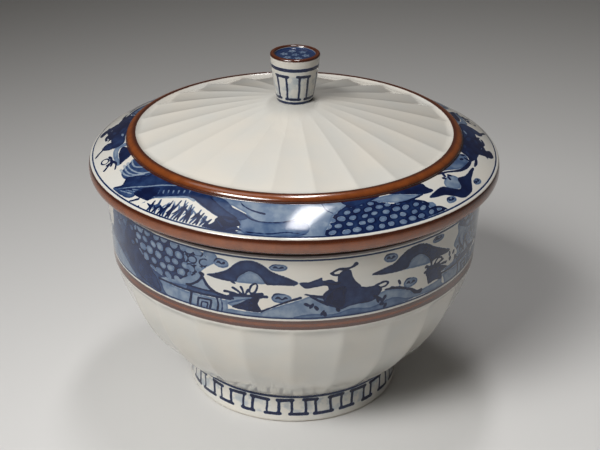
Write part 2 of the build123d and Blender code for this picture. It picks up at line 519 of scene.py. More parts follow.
def traveller(band, s, v):
    """A loose silhouette of a rider on a horse, with a plain face that is left pale."""
    at = placed(s, v)
    band.blobs("dark",
        at((-8, 7.4), (-6.4, 9), (-3, 9.6), (1, 9.2), (4, 8.5), (6.8, 8.3), (8.4, 7.2), (8.6, 5.4),
           (7.4, 3.6), (5, 3), (1.5, 3.2), (-1.6, 2.8), (-3.2, 2.4), (-5.2, 3.4), (-7.6, 4.6)),
        at((-15.2, 11.8), (-12.6, 12), (-10.2, 12.8), (-8.9, 13.3), (-8.6, 12.2), (-6.4, 12.3),
           (-5.2, 11.4), (-3.6, 10.8), (-3.8, 9), (-6.6, 8.6), (-7.6, 10.3), (-10.4, 10.2), (-12.8, 9.9),
           (-14.2, 10.6)),
        at((-5.4, 9), (-4.6, 10.8), (-4.4, 12.8), (-3.9, 14.4), (-2.8, 15.2), (-1.2, 14.8), (-0.4, 13.2),
           (0.6, 11), (1.8, 8.8)))
    band.blob("ink", at(
        (-7.6, 5.4), (-6, 8), (-4.6, 9.4), (-2.4, 9.6), (-1.6, 5.6), (-2.6, 3.2), (-5.4, 4)))
    band.strokes("ink",
        at((-6.3, 14.5, 0.7), (-4.6, 15.7, 0.8), (-2.6, 15.5, 0.9), (-1, 15.9, 0.7), (0.2, 16.8, 1.3)),
        at((-6.2, 14.4, 0.6), (-5.4, 13.8, 0.7), (-4, 13.6, 0.8)),
        at((-3.6, 10.9, 0.5), (-6, 10.6, 0.9), (-8.4, 11.6, 0.6)),
        at((-7.8, 6.6, 0.9), (-10.4, 7.2, 0.6), (-13, 7.9, 0.5)),
        at((-7, 4.6, 1.2), (-9.6, 5.8, 0.8), (-11.6, 7.2, 0.6)),
        at((7, 4.6, 1.1), (8.9, 3.4, 0.8), (9.6, 2.6, 0.9), (10.4, 3.8, 1)),
        at((6.6, 8.3, 0.9), (9.2, 9, 0.7), (10.6, 8.4, 0.6), (9.6, 7.3, 0.6), (7.6, 7.2, 0.6)))
    band.oval("reserve", (s - 4.6, v + 14.6), 0.75, 0.38, 0.35)
    for place in (
            (-13, 4.6), (-11.6, 4.2), (-10.2, 3.5), (-8.2, 2), (-7.4, 1.4), (-4, 2.4), (9.4, 1.7),
            (10.4, 1), (8.2, 3), (12.2, 6), (14.4, 7.4)):
        band.oval("ink", (s + place[0], v + place[1]), 0.95, 0.5, place[0])


def rock(band, s, v):
    """A dark stone with a few specks."""
    at = placed(s, v)
    band.blob("ink", at(
        (-4.8, -0.2), (-1.8, 1.5), (0.6, 3.2), (3.6, 4.2), (3.4, 2.2), (4.2, 0.2), (3.2, -0.9),
        (-1.5, -0.6)))
    for place in at((-1.6, 0.4), (0.1, 0.2), (1.4, 0.5), (-0.2, 1.6), (1.6, 2)):
        band.oval("reserve", place, 0.28, 0.22)


def draw_net_hillside(band):
    """The dark hillside at the far left, the net that hangs over it, and the hall at its foot."""
    band.blob("deep", [
        (-71, 8), (-68.5, 13), (-65, 18.6), (-40, 18.6), (-40, 6), (-42.5, 4.4), (-38.6, 0.1), (-52, 0.1),
        (-55.5, 1.6), (-60, 3.6), (-65, 6)])
    band.blob("dark", [
        (-60, 8), (-58, 15), (-55, 18.4), (-48, 14), (-46, 7), (-43, 4), (-42, 0.4), (-50, 1.2), (-55, 4)])
    band.blob("pale", [(-73, 9.4), (-68, 9), (-60, 5), (-52, 1.4), (-52, 0.1), (-74, 0.1)])
    for place in ((-64.5, 16.2), (-61.6, 17), (-62.6, 14.6), (-58.6, 16.6), (-54.2, 16.8), (-54, 11.8)):
        band.oval("mid", place, 0.85, 0.7, cleared=True)
    net(band,
        [(-51.6, 18.6), (-46, 18.6), (-34, 18.6), (-30, 18.4), (-30.2, 14), (-29.6, 10.8), (-32, 8.2),
         (-35.5, 6.4), (-41, 5.8), (-46, 7.2), (-49.8, 9.8), (-52.4, 13.2)],
        (-42.1, 12.6), (3.45, 2.85), (1.28, 1.12))
    net(band,
        [(-31, 18.7), (-26, 18.7), (-24, 16), (-24.2, 13.8), (-26.6, 12.6), (-29.8, 9.6), (-31, 13.5)],
        (-40, 12.2), (3.3, 3), (1.55, 1.35), rings=True)
    band.blob("pale", [
        (-25, 18.6), (-21.4, 18.6), (-21, 16.4), (-23, 14.6), (-25.5, 12.6), (-27.2, 11), (-29.4, 8.4),
        (-26.5, 13.4)])
    pavilion(band, -26.4, 0)
    band.blob("pale", [
        (-42.2, 5.6), (-36, 7.6), (-31.2, 9.4), (-28, 12.4), (-26.6, 10), (-30, 6.4), (-37.6, 4.4),
        (-36.8, 0.2), (-40, 0.2), (-42, 3.6)])


def draw_left_hill(band):
    """A bent hill under pebble clouds, with a bush and a rock below it."""
    arch_hill(band,
        [(-24.4, 11.5), (-21, 12.7), (-18.2, 14.1), (-15.6, 16.4), (-12.6, 17.8), (-9.6, 17.9),
         (-7.2, 16.7), (-5.5, 15), (-2.5, 13.6), (1.4, 11.8), (0.7, 11), (-2.2, 10.9), (-5.8, 10.7)],
        [(-16, 11), (-14.6, 12.6), (-13.2, 14), (-11.6, 14.8), (-9.6, 14), (-8.2, 12.6), (-6.8, 11)])
    pebble_cloud(band, (-19.9, 16), 2.2, 1.3, 2)
    pebble_cloud(band, (-3.5, 16.4), 2.4, 1.1)
    pebble_cloud(band, (-2.8, 6.9), 2.9, 1.5)
    leaf_bush(band, (-13.6, 6.3), [
        (-19.2, 7.3), (-16.8, 8.9), (-14.2, 9.4), (-12.2, 8.6), (-8.2, 7.9), (-7, 7.2), (-17.4, 6.5)])
    band.ring("ink", (-10.5, 9.3), 1.9, 0.85, 0.5, 0.9)
    band.oval("ink", (-16.4, 10.8), 0.9, 0.4, -0.4)
    band.strokes("ink",
        [(-20, 4.7, 0.5), (-17, 6, 0.9), (-13.5, 6.7, 0.9), (-8.6, 6.9, 0.7)],
        [(-8.8, 2, 0.7), (-5.6, 3.6, 0.6), (-2.6, 5.2, 0.6), (0.4, 6.3, 0.7), (2.7, 6.9, 0.9)])
    band.blob("pale", [(-19, 4.6), (-15, 6.2), (-10, 6.4), (-12, 5.2), (-15, 3.5), (-18, 2.6)])
    band.stroke("mid", [(-18.6, 3.2, 0.6), (-15.4, 4.6, 0.7), (-12, 6, 0.5)])
    rock(band, -12.8, 2.6)


def draw_shore(band):
    """The pale shore along the lower line, and the rider on it."""
    band.blob("pale", [
        (-22, 0.1), (-18, 1.6), (-9, 1.6), (-2, 4.9), (3, 6.4), (5.2, 7.2), (9, 6.4), (11, 4), (18, 4),
        (24.4, 5), (28, 5.9), (33, 4.8), (39, 1.8), (45, 2.4), (54, 3.8), (58, 0.1)], smooth=False)
    band.blob("mid", [(2, 0.1), (6, 1.9), (12, 1.2), (17, 2.2), (23, 1.4), (30, 3), (35, 1.2), (37, 0.1)])
    traveller(band, 17.2, 0)


def draw_right_hill(band):
    """The second bent hill, with a dark bush below it, and washes and a broken line of rocks beside it."""
    arch_hill(band,
        [(22.9, 12.2), (26, 13.6), (29, 14.3), (31.5, 15.8), (34.5, 17.5), (38, 17.9), (41, 16.9),
         (44, 15), (48, 13.2), (52, 11.2), (50.5, 10.6), (47, 10.9), (44, 10.6)],
        [(33.2, 11.2), (34.6, 12.8), (36, 14), (38.2, 14.5), (40.4, 13.6), (42, 12), (43, 10.4)])
    pebble_cloud(band, (28.4, 16.4), 2.3, 1.2)
    pebble_cloud(band, (45.8, 16.8), 2.4, 1)
    pebble_cloud(band, (35.6, 6.3), 2.5, 1.5)
    band.stroke("ink", [(27, 6, 0.6), (31.5, 5.6, 0.8), (36, 3.8, 0.8), (38.4, 2, 1.2), (40.2, 1.7, 1.5)])
    band.blob("dark", [
        (41.6, 8.4), (43.4, 9.4), (47, 8), (50.6, 6.4), (54.4, 4.2), (50.4, 3.8), (49, 2.6), (45.6, 3.2),
        (42.8, 3), (42, 5.6)])
    band.blobs("pale",
        [(45.6, 6.6), (49, 6), (53.6, 4.6), (55, 1), (49, 1), (47, 4.2)],
        [(56.6, 18.6), (70, 18.6), (70, 2), (55.6, 2.4), (54.8, 5.6), (56.4, 8.4), (54.6, 11.4),
         (56, 14.6)])
    leaf_bush(band, (44, 8), [
        (41.4, 9.6), (43.2, 10.6), (45.8, 10.4), (48.6, 9.2), (50.8, 7.4), (41.2, 7.8)])
    band.ring("ink", (46.6, 9.6), 1.5, 1, 0.5)
    band.blob("mid", [(59.4, 18.6), (72, 18.6), (72, 9), (62.4, 8.2), (60.2, 11.6), (61.4, 14.8)])
    for place in ((52.6, 7.8), (54.2, 9.2), (52, 9.6), (55.6, 7.2), (56.8, 9.8), (58.2, 8.6), (57.4, 5.8)):
        band.oval("ink", place, 0.8, 0.55, place[0])
    band.stroke("ink", [(54, 5.4, 0.6), (56.6, 6.6, 0.8), (59, 6.2, 0.7), (60.8, 7.6, 0.6)])


def draw_right_hall(band):
    """The hall on the right, and the net over the hill behind it."""
    pavilion(band, 62, 0, 0.9)
    band.blob("deep", [
        (57.5, 18.6), (83, 18.6), (87, 13), (85, 6), (79, 3), (73, 5), (69, 8), (66, 11), (63, 13.6),
        (59.5, 15.4)])
    net(band,
        [(60, 18.6), (80, 18.6), (83, 14), (80, 8), (73, 6), (68, 9), (63, 14)],
        (66, 15.6), (3.45, 2.85), (1.28, 1.12))
    band.stroke("ink", [(57.4, 12.6, 0.7), (58.6, 10, 0.9), (61.4, 7.2, 0.7)])


def draw_far_shore(band):
    """What joins the two ends of the pattern: a low shore, a bush, a cloud and a third bent hill."""
    band.blob("pale", [(70, 0.1), (71, 3.4), (78, 3), (84, 2), (92, 3.2), (100, 1.6), (106, 0.1)])
    pebble_cloud(band, (-82.5, 15.6), 2.6, 1.2)
    leaf_bush(band, (-79.5, 2.8), [
        (-83.6, 6), (-81.6, 7.4), (-79.4, 7.9), (-77, 7.2), (-75.4, 5.4), (-84.2, 4)])
    arch_hill(band,
        [(-88, 10.2), (-85, 11.6), (-82, 13.2), (-79, 13.6), (-76, 12.4), (-73, 10.4), (-74, 9.4),
         (-77, 9.5)],
        [(-83.4, 9.8), (-82, 11), (-80.2, 11.6), (-78.4, 10.8), (-77.4, 9.8)])


def draw_bowl_band(band):
    """The landscape round the bowl's wall, from the lower line, v = 0, to the upper line at v = 18.8."""
    for draw in (
            draw_net_hillside, draw_left_hill, draw_shore, draw_right_hill, draw_right_hall, draw_far_shore):
        draw(band)


def draw_pines(band):
    """Ragged pines at the far left."""
    band.blob("dark", [
        (-95, 8.4), (-93, 11.3), (-84, 11.3), (-79.2, 10.8), (-77.4, 8.6), (-78.6, 6.6), (-82, 6.6),
        (-86, 6.2), (-90, 7.4), (-92.4, 7)])
    for start, end in (
            ((-93, 8), (-88.4, 4.4)), ((-90, 7.6), (-85.4, 5)), ((-97.6, 10.6), (-95.4, 6)),
            ((-95.4, 6.4), (-98.6, 2.8)), ((-96.4, 4.2), (-91.6, 4.6)), ((-100, 10.6), (-94, 10.2))):
        middle = ((start[0] + end[0]) / 2 + 0.5, (start[1] + end[1]) / 2)
        band.stroke("ink", [start + (0.9,), middle + (1.4,), end + (0.4,)])
    band.blob("dark", [(-83, 6.8), (-83.6, 4.6), (-81.4, 3.2), (-79.4, 4.4), (-78.4, 6.8)])
    band.stroke("ink", [(-81, 3.8, 1), (-79.6, 2.4, 0.9), (-78.4, 1.2, 1)])
    band.oval("reserve", (-90.4, 9.6), 1.5, 0.5, -0.5)
    band.oval("reserve", (-86, 10.2), 1.4, 0.4, 0.2)


def draw_leaning_stone(band):
    """A leaning stone in its own pale shadow, and a bush under it."""
    band.blob("pale", [
        (-78.4, 11.3), (-77.4, 7.6), (-73, 6.6), (-68.2, 6.4), (-65.6, 6.2), (-66.2, 7.6), (-72, 8),
        (-75.8, 9.2), (-76, 11.3)])
    band.blob("ink", [
        (-76, 9.8), (-74.6, 11.2), (-71.6, 11.5), (-68.2, 11.2), (-66.4, 8.8), (-65.4, 7), (-68.4, 7.8),
        (-72.6, 8.4)])
    band.stroke("dark", [(-73, 6, 0.4), (-70.4, 5.6, 1), (-67.6, 6.4, 0.8), (-64.8, 5, 0.5)])
    band.ring("ink", (-72.3, 3.6), 1.5, 1.3, 0.5)
    leaf_bush(band, (-70.4, 5.6), [(-73.8, 5.4), (-69.6, 3.6), (-67.6, 2), (-68, 4.6)])


def draw_water_rings(band):
    """Rings of water by the shore."""
    band.blob("deep", [
        (-64.4, 11.5), (-63.4, 9.4), (-61.2, 6), (-58.2, 5), (-55.6, 5.8), (-52.6, 9.4), (-51.6, 11.5)])
    band.blob("reserve", [(-68.6, 11.5), (-65.4, 7.2), (-61.2, 5.6), (-62, 6.8), (-64, 9), (-65, 11.5)])
    for rings in (
            ((-64.4, 10.5), (-60.4, 9.8), (-57.2, 11.3)),
            ((-64.2, 9.2), (-60.4, 8.3), (-55.6, 9), (-52.4, 11.2)),
            ((-63.6, 7.8), (-59.8, 7), (-56.4, 7.6), (-53.6, 9.6)),
            ((-62.4, 6.2), (-59.2, 5.9), (-56.6, 6.6), (-55.4, 8.2))):
        band.stroke("reserve", [point + (0.55,) for point in rings])
        band.stroke("pale", [point + (0.75,) for point in rings])


def draw_causeway(band):
    """A dark hillside, with a causeway of pale steps down it."""
    band.blob("dark", [
        (-56.8, 5.8), (-55.2, 8), (-52, 9.8), (-50.4, 11.6), (-43, 11.6), (-32, 11.6), (-24, 11.6),
        (-31, 8.6), (-38, 6.6), (-41.4, 4.4), (-43, 2.8), (-49, 3.4), (-53, 2.6), (-57.4, 1.3),
        (-55.6, 3.4)])
    band.blobs("deep",
        [(-57.4, 1), (-53, 3.6), (-49, 5.6), (-48, 3.2), (-50, 0.9)],
        [(-42.2, 5), (-43, 7.8), (-39.6, 10), (-35.6, 11.3), (-31, 11.2), (-33.6, 9.4), (-37.4, 7.9),
         (-40.4, 6.4)])
    band.blob("ink", [
        (-49, 3), (-48.4, 5.6), (-46.4, 7.2), (-43.6, 8.4), (-42.4, 6.4), (-42.6, 4.2), (-41.2, 3.6),
        (-44, 2.8)])
    band.stroke("reserve", [(-55.6, 1.8, 0.3), (-49.6, 5.8, 0.5), (-44.4, 9, 0.5), (-39.4, 11.3, 0.6)])
    band.stroke("pale", [(-55.6, 1.8, 0.5), (-49.6, 5.8, 0.8), (-44.4, 9, 0.8), (-39.4, 11.3, 0.9)])
    for i in range(7):
        s, v = -42.4 + 1.55 * i, 6.3 + 0.62 * i
        band.stroke("reserve", [(s, v, 0.35), (s - 0.5, v + 1.1, 0.5)])
    for i in range(3):
        band.stroke("reserve", [
            (-54.6 + 1.9 * i, 1.6 + 1.2 * i, 0.3), (-49.8 + 0.9 * i, 2.7 + 1.1 * i, 0.45)])
    band.oval("reserve", (-42.4, 3.8), 0.6, 0.35)
    band.strokes("ink",
        [(-48.2, 0.4, 0.5), (-46, 2.2, 0.7)],
        [(-44.4, 0.3, 0.5), (-43.2, 2, 0.8)])


def draw_reeds(band):
    """A bank of reeds, each a tall stroke with a shorter one beside it."""
    band.cover([
        (-41.6, 4.6), (-37, 6.6), (-32.6, 7.9), (-28, 7.1), (-23.5, 5.2), (-20.2, 3.8), (-21.6, 1.6),
        (-23.4, 0.4), (-34, 0.4), (-44, 0.4), (-43, 2.4)])
    band.stroke("reserve", [(-42.4, 4.6, 0.4), (-37, 6.9, 0.6), (-32.4, 8.5, 0.6), (-29.6, 8, 0.4)])
    band.stroke("mid", [(-42.4, 4.6, 0.5), (-37, 6.9, 0.7), (-32.4, 8.5, 0.7), (-29.6, 8, 0.5)])
    heights = (
        2.4, 3.4, 2.6, 4.4, 3.6, 5.4, 4.2, 6.4, 5, 6.6, 5.6, 7, 5.8, 6.2, 4.8, 5.4, 4.4, 4.4, 3.4, 2.8, 1.8)
    leans = (
        1.5, -0.9, 1.2, -1.5, 1.7, 0.4, -1.4, 1.1, -1.7, 1.6, 1, -1.3, 1.5, -0.5, -1.6, 1.2, 1.4, -1.2, 0.6,
        1.3, -0.9)
    for i, (tall, lean) in enumerate(zip(heights, leans)):
        s = -41 + 0.93 * i
        band.stroke("ink" if i % 3 else "deep", [
            (s, 0.5, 0.45), (s + lean * 0.4, 0.5 + tall * 0.5, 0.8), (s + lean, 0.4 + tall, 0.3)])
        band.stroke("mid" if i % 2 else "ink", [
            (s + 0.45, 0.5 + tall * 0.3, 0.3), (s + 0.5 - lean * 0.3, 0.5 + tall * 0.55, 0.6),
            (s - lean * 0.8, tall * 0.9, 0.25)])


def draw_hill_foot(band):
    """The hillside's foot, which runs down to the outer line."""
    band.blob("deep", [
        (-33, 11.4), (-21.6, 11.4), (-17.4, 8.6), (-13.4, 6.9), (-12, 5.6), (-14, 4.4), (-18, 4.4),
        (-20.4, 4.4), (-24.6, 6.4), (-29, 8.2), (-31.6, 9.2)])
    band.blob("dark", [
        (-34, 11.5), (-27, 11.4), (-22.6, 9.4), (-18, 6.8), (-14.6, 4.9), (-18, 4.5), (-20.4, 4.6),
        (-24.6, 6.6), (-29, 8.4), (-31.6, 9.4)])
    band.blob("ink", [
        (-20.4, 4.3), (-19.6, 5), (-17.4, 5.3), (-16, 4.7), (-14.4, 4.5), (-13.5, 3), (-14.6, 2.4),
        (-12.9, 1.3), (-15.2, 1.3), (-14.2, 0.4), (-23.6, 0.4), (-22.2, 1.4), (-21.2, 2.4),
        (-21, 3.4)], pieces=3)
    band.strokes("reserve",
        [(-18.2, 4, 0.3), (-16.8, 3.6, 0.8), (-15.6, 3.9, 0.3)],
        [(-17.2, 0.9, 0.3), (-15.4, 1.9, 0.5), (-13.4, 1.7, 0.3)],
        [(-20.4, 3.2, 0.3), (-18.6, 1.6, 0.35)])


def draw_open_water(band):
    """Open water, with long brushed lines."""
    band.blob("pale", [
        (-21, 11.6), (-16.8, 8.9), (-13, 7), (-11.5, 4.8), (-12.6, 2.4), (-14, 0.1), (0, 0.1), (14, 0.1),
        (12, 3), (13, 6), (17, 9.4), (16, 11.6), (0, 11.6)])
    band.blob("mid", [
        (-13.6, 6.8), (-9, 5.2), (-4, 4.8), (1.6, 5.6), (4.6, 3.6), (3, 0.8), (-6, 0.4), (-13.2, 0.8)])
    band.strokes("dark",
        [(-15.6, 11.4, 0.3), (-14.4, 9.8, 0.5), (-11.4, 8.3, 0.5), (-7.8, 7.6, 0.7)],
        [(-13.6, 6.9, 0.5), (-10.6, 5.3, 0.5), (-6.4, 4.8, 0.4), (-2.2, 5.1, 0.5), (1.8, 6.3, 0.3)],
        [(-12, 1, 0.5), (-6, 0.9, 0.4), (-1, 1.6, 0.4), (4, 1.1, 0.3)])
    band.stroke("deep", [(8.6, 11.2, 0.4), (9.6, 8.8, 0.5), (11.6, 7.4, 0.4)])


def draw_net_shore(band):
    """The net on the right, and the hills behind it."""
    net(band,
        [(9.4, 0.1), (26, 0.05), (42, 0.1), (43.6, 0.9), (42, 2), (40, 3.4), (38.4, 5.4), (36, 7.3),
         (30, 7.3), (27.4, 8.6), (24, 10.3), (19, 11.3), (14.5, 9), (11, 5.6)],
        (20, 1.2), (3.15, 2.08), (1.02, 0.68))
    band.blob("dark", [(15, 11.6), (27, 11.6), (23.4, 10.2), (20, 9.4), (17, 8.9)])
    band.blobs("pale",
        [(24, 10.8), (31, 11), (36, 9.2), (40.6, 7.7), (36, 7.3), (30.4, 7.6), (26.6, 9.2)],
        [(38.6, 4.6), (40.8, 4.2), (41.6, 2.6), (40, 2.6)])
    band.strokes("ink",
        [(30, 7.3, 0.4), (35, 7.3, 0.6), (40.6, 7.8, 0.5)],
        [(35.4, 7.4, 0.5), (38.6, 5.6, 0.6), (39.6, 4, 0.7)],
        [(39.8, 2.4, 0.5), (42.6, 1.6, 0.6), (44, 0.3, 0.6)])
    band.blob("ink", [
        (30.8, 11.6), (33.6, 10.2), (38, 8.8), (42, 7.5), (45.2, 7.5), (44, 9.4), (42.6, 11.6)])


def draw_bent_hill(band):
    """A bent hill with its back to the outer line, and dabs of leaves and cloud round it."""
    band.blob("pale", [(50.4, 6.4), (53.7, 4.1), (57.4, 6.5), (56, 8.8), (51.8, 8.4)])
    band.blob("ink", [
        (41.6, 5.9), (45.2, 6.9), (48.8, 7.2), (50.6, 6.1), (52.2, 4.7), (53.8, 3.9), (55.4, 4.8),
        (57.2, 6.8), (61, 6), (66, 5.9), (67.4, 5.3), (64.4, 4.7), (61.4, 4), (58.4, 2.4), (56.2, 1.2),
        (53.6, 0.9), (51.4, 1.2), (49.5, 2.7), (46.8, 4.4), (43.6, 5)])
    for place in ((52.8, 9), (54.2, 9.8), (55.8, 8.8), (54.4, 8.2)):
        band.oval("ink", place, 0.85, 0.5, place[0])
    pebble_cloud(band, (47.4, 2.3), 1.7, 0.9, 3)
    pebble_cloud(band, (62.1, 2.2), 1.8, 0.9)
    band.blob("mid", [(57, 11.4), (70, 11.4), (72.6, 9.4), (69.4, 7.8), (63, 8.4), (58.6, 10.2)])
    band.stroke("ink", [(53, 11.3, 0.8), (57, 10, 0.7), (62, 8, 1), (66.8, 7.3, 1.3), (71.6, 7.2, 0.6)])
    for place in ((68.8, 9.9), (70.4, 8.6), (71.6, 10.2)):
        band.oval("ink", place, 1, 0.55, place[0])


def draw_lid_rider(band):
    """A rider, as a dark mass of strokes."""
    band.blobs("ink",
        [(70.4, 7), (72.4, 8.8), (73.4, 11.2), (76.4, 11.5), (82, 11.5), (87.4, 10.4), (88.6, 8),
         (89.8, 5.4), (86, 4.6), (81.6, 5.6), (78, 5.8), (74.4, 5.9)],
        [(77.6, 6), (78.4, 3.8), (79.6, 1.6), (81.8, 0.8), (84.2, 1.8), (82.6, 3.6), (81.8, 5.6)])
    band.strokes("ink",
        [(84, 5.6, 1.1), (87, 4, 0.9), (90, 4.4, 0.8)],
        [(68.4, 5.4, 0.5), (71, 5.5, 0.9), (74, 6.2, 0.7)])
    for place, turn in (((78.4, 10.5), 0.1), ((86.2, 6.9), 0.3), ((85, 9.6), -0.4), ((74.6, 9), 0.5)):
        band.oval("reserve", place, 1.1, 0.5, turn)


def draw_lid_band(band):
    """The landscape round the lid's slope, from the outer line, v = 0, up to the ridge at v = 11.4."""
    for draw in (
            draw_pines, draw_leaning_stone, draw_water_rings, draw_causeway, draw_reeds, draw_hill_foot,
            draw_open_water, draw_net_shore, draw_bent_hill, draw_lid_rider):
        draw(band)


def draw_fret(band, uprights, first, low, high, width, overshoot):
    """A key fret: uprights joined at the top and the bottom by turns, with bars that overshoot them."""
    pitch = band.period / uprights
    for i in range(uprights):
        s = first + i * pitch + 0.12 * pitch * math.sin(i * 2.4)
        after = first + (i + 1) * pitch + 0.12 * pitch * math.sin((i + 1) % uprights * 2.4)
        level = high if i % 2 else low
        tilt = 0.12 * math.sin(i * 1.7)
        band.stroke("ink", [(s, low + tilt), (s + tilt, high + tilt)], width * (1 + 0.2 * math.sin(i * 3.1)))
        band.stroke("ink", [(s - overshoot, level + tilt), (after + overshoot, level - tilt)], width * 1.3)
        band.blob("wash", [(s, low), (after, low), (after, high), (s, high)], smooth=False)


# ================================================================ the four pieces
def make_bowl_body():
    shoulder = (shoulder_radius, shoulder_height)
    under_edge = (body_foot_radius, foot_height)
    outer_lip = (mouth_radius, rim_height)
    inner_lip = (mouth_radius - bowl_wall, rim_height)
    inner_shoulder = (shoulder_radius - bowl_wall, shoulder_height)
    floor_edge = (body_foot_radius, floor_height + floor_dish)
    band_start = (shoulder_radius - 0.05, shoulder_height - 0.6)
    outer_arc = rounded(shoulder, outer_lip, inner_lip, lip_rounding, 5)
    inner_arc = rounded(outer_lip, inner_lip, inner_shoulder, lip_rounding, 5)

    rows = with_columns(run((0, foot_height), under_edge, step=8), PLAIN)
    body = run(under_edge, shoulder, -body_bulge, step=1.3)
    rows += with_columns(body[:1], PLAIN) + with_columns(body[1:-1], COARSE)
    rows += step_columns([body[-1], band_start], COARSE, FINE)
    rows += with_columns(run(shoulder, outer_arc[0], step=0.33), FINE)
    rows += with_columns(outer_arc, FINE)
    rows += with_columns(inner_arc, FINE)
    inside = run(inner_arc[-1], inner_shoulder, step=1.6)[1:]
    rows += step_columns(inside[:3], FINE, PLAIN) + with_columns(inside[3:], PLAIN)
    rows += with_columns(run(inner_shoulder, floor_edge, body_bulge, step=1.8), PLAIN)
    rows += with_columns(run(floor_edge, (0, floor_height), floor_dish / 4, step=2.5), PLAIN)
    rows.append((0.0, floor_height, 1))
    piece = Turned(rows)

    # flat facets below the painted wall: chords between arrises, with the wall a little proud of them
    inside_facet = np.mod(piece.theta, 2 * HALF_FLUTE) - HALF_FLUTE
    chord = piece.radius * (1 - math.cos(HALF_FLUTE) / np.cos(inside_facet))
    below = np.clip((facet_top - piece.height) / facet_top_fade, 0, 1)
    outside = piece.along < piece.along_at(*shoulder)
    above_foot = np.clip((piece.height - foot_height) / facet_foot_fade, 0, 1)
    piece.sink(outside * below * above_foot * (chord * facet_share + facet_step))

    v = piece.along - piece.along_at(*shoulder) - bowl_band_margin
    band = Band(piece, mouth_radius - wall_lean / 2, v, (-0.6, 19.6), repeats=2)
    draw_bowl_band(band)
    band.store(SCENE_LAYERS)
    return piece.build("bowl_body_glazed")


def make_foot_ring():
    inner_radius = foot_radius - foot_wall
    outer_top = (foot_radius - foot_lean, foot_height)
    outer_bottom = (foot_radius, 0.0)
    inner_bottom = (inner_radius, 0.0)
    inner_top = (inner_radius, foot_height)
    inner_arc = rounded(inner_top, inner_bottom, outer_bottom, foot_rounding)
    outer_arc = rounded(inner_bottom, outer_bottom, outer_top, foot_rounding)
    outline = run(inner_top, inner_arc[0], step=2.0) + inner_arc + outer_arc
    outline += run(outer_arc[-1], outer_top, step=0.33)[1:] + run(outer_top, inner_top, step=1.4)
    piece = Turned(with_columns(outline, MIDDLE), closed=True)

    # what lies inside the standing edge is unpainted, so it is set below the clay line
    v = np.where(piece.along < piece.along_at(*outer_arc[0]), -3.0, piece.height)
    band = Band(piece, foot_radius, v, (1.0, foot_height + 0.1), repeats=1, wobble=0.12)
    draw_fret(band, uprights=52, first=0.0, low=3.0, high=7.9, width=0.8, overshoot=0.5)
    band.store(FRET_LAYERS)
    return piece.build("foot_ring_glazed")


def make_lid_shell():
    inner_top = dome_top - lid_wall
    inner_corner = (ridge_inner[0] - lid_wall / 2, ridge_inner[1] - lid_wall)
    flange_inner = (flange_radius - flange_wall, flange_bottom)
    flange_outer = (flange_radius, flange_bottom)
    seat_corner = (flange_radius, rim_height)
    edge_bottom = (lid_edge_radius, rim_height)
    edge_top = (lid_edge_radius, lid_edge_top)
    knob_flat = (knob_seat_radius, dome_top)
    inner_flat = (knob_seat_radius, inner_top)
    inner_arc = rounded(inner_corner, flange_inner, flange_outer, flange_rounding, 3)
    outer_arc = rounded(flange_inner, flange_outer, seat_corner, flange_rounding, 3)

    rows = with_columns(run((0, inner_top), inner_flat, step=3.1), PLAIN)
    rows += with_columns(run(inner_flat, inner_corner, 0.7, step=2.6), PLAIN)
    rows += with_columns(run(inner_corner, inner_arc[0], step=2.4), PLAIN)
    rows += with_columns(inner_arc + outer_arc, PLAIN)
    seat_rows = run(outer_arc[-1], seat_corner, step=1.2)[1:] + [seat_corner]
    seat_rows += run(seat_corner, (lid_edge_radius - edge_tuck, rim_height), step=1.0)[1:]
    rows += with_columns(seat_rows[:-3], PLAIN) + step_columns(seat_rows[-3:], PLAIN, FINE)
    rows += with_columns(edge_outline(edge_bottom, edge_top), FINE)
    rows += with_columns(run(edge_top, ridge_outer, -0.4, step=0.33), FINE)
    rows += with_columns(bead_outline(ridge_outer, ridge_inner, -1.1), FINE)
    dome = run(ridge_inner, knob_flat, -0.7, step=0.9)
    rows += step_columns(dome[1:2], FINE, MIDDLE) + with_columns(dome[2:-10], MIDDLE)
    rows += step_columns(dome[-10:], MIDDLE, PLAIN)
    rows.append(knob_flat + (PLAIN,))
    rows.append((0.0, dome_top, 1))
    piece = Turned(rows)

    # shallow scooped flutes on the dome, deepest at the ridge and fading towards the knob
    inside_flute = (np.mod(piece.theta + HALF_FLUTE, 2 * HALF_FLUTE) - HALF_FLUTE) / HALF_FLUTE
    dome_part = piece.along > piece.along_at(*ridge_inner) + 0.2
    reach = np.clip((piece.radius - flute_start) / (ridge_inner[0] - flute_start), 0, 1)
    scoop = 1 - np.abs(inside_flute) ** flute_flatness
    piece.sink(dome_part * scoop * flute_depth * reach ** flute_fade)

    v = piece.along - piece.along_at(*edge_top) - lid_band_margin
    band = Band(piece, (lid_edge_radius + ridge_outer[0]) / 2, v, (-0.4, 12.4), repeats=2, wobble=0.2)
    draw_lid_band(band)
    band.store(SCENE_LAYERS)
    return piece.build("lid_shell_glazed")


def edge_outline(low, high, step=0.45):
    """The lid's outer edge from the seat up: a full round below, and a fuller bead above."""
    count = round(math.hypot(high[0] - low[0], high[1] - low[1]) / step)
    middle, half = (low[1] + high[1]) / 2, (high[1] - low[1]) / 2
    points = []
    for i in range(count):
        angle = math.pi * (i / count - 0.5)
        tuck = edge_tuck * max(0.0, -math.sin(angle)) ** 3
        points.append((low[0] - tuck + edge_bulge * math.cos(angle) ** 0.8, middle + half * math.sin(angle)))
    return points


